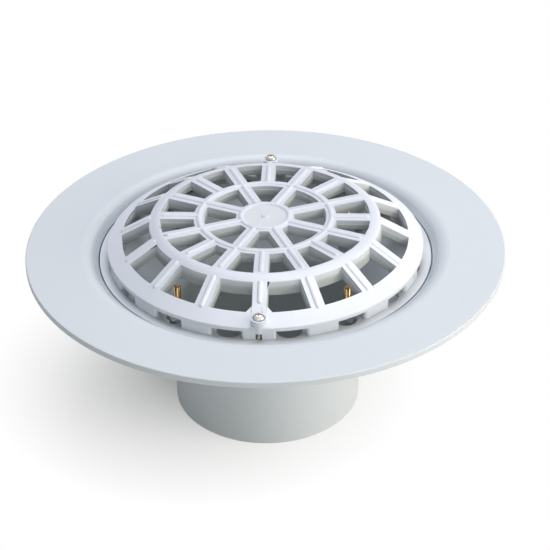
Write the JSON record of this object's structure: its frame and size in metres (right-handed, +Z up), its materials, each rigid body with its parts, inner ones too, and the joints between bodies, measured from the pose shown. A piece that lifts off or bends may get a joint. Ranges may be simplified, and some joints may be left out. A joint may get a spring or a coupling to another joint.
{
  "type": "flat roof drain",
  "caption": "Flat roof drain with a round welding flange, recessed clamp ring, low domed strainer on two screws and a plain pipe spigot.",
  "frame": {"origin": "middle of the spigot's lower end, on the drain's axis", "axes": "+Z up along the drain's axis; the front strainer screw lies towards -Y, and +X is to the right"},
  "size_m": [0.4, 0.3998, 0.1787],
  "materials": {
    "pvc_body": "pale blue-grey moulded PVC, satin",
    "pvc_ring": "pale grey moulded PVC, satin",
    "strainer_plastic": "near-white moulded plastic, satin",
    "epdm": "matte black sealing rubber",
    "stainless": "stainless steel, slightly warm",
    "brass": "turned brass"
  },
  "bodies": {
    "root": {"drain_body": "pvc_body", "sealing_gasket": "epdm", "clamp_ring": "pvc_ring", "dome_strainer": "strainer_plastic", "strainer_screw_front": "stainless", "strainer_screw_rear": "stainless", "ring_insert_front": "brass", "ring_insert_rear": "brass", "clamp_stud_front_right": "brass", "stud_washer_front_right": "stainless", "stud_nut_front_right": "brass", "clamp_stud_rear_right": "brass", "stud_washer_rear_right": "stainless", "stud_nut_rear_right": "brass", "clamp_stud_rear_left": "brass", "stud_washer_rear_left": "stainless", "stud_nut_rear_left": "brass", "clamp_stud_front_left": "brass", "stud_washer_front_left": "stainless", "stud_nut_front_left": "brass"}
  },
  "joints": []
}
